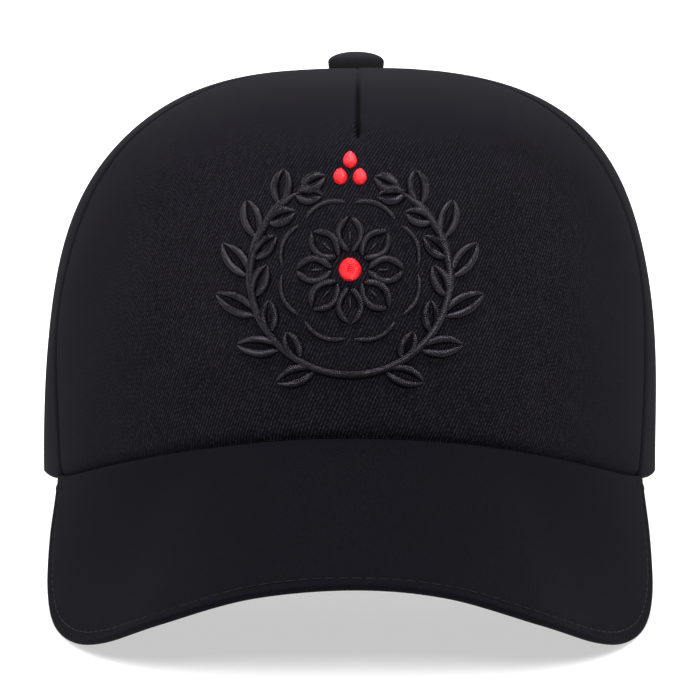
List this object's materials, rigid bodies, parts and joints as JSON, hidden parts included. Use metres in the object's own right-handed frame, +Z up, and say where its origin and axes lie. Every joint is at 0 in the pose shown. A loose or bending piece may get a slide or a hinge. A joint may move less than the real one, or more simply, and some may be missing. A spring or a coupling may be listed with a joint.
{
  "type": "trucker cap",
  "caption": "Structured cloth cap with a tall front panel, a curved peak, a covered button and a strap across the opening at the back.",
  "frame": {"origin": "middle of the footprint of the resting cap's bounding box, on the floor", "axes": "+Z up, -Y towards the tip of the peak, +X to the right-hand side as seen from in front of the cap"},
  "size_m": [0.1756, 0.2654, 0.138],
  "materials": {
    "crown_twill": "black cotton twill over a stiff backing, matt with a faint sheen",
    "peak_twill": "black cotton twill stretched over a stiff board, matt and smooth",
    "strap_twill": "black cotton twill, folded and stitched, matt",
    "button_cloth": "black cotton cloth stretched over a metal button, matt"
  },
  "bodies": {
    "root": {"front_panel": "crown_twill", "side_panel_right": "crown_twill", "side_panel_left": "crown_twill", "back_panel_right": "crown_twill", "back_panel_left": "crown_twill", "back_strap": "strap_twill", "peak": "peak_twill", "button": "button_cloth"}
  },
  "joints": []
}
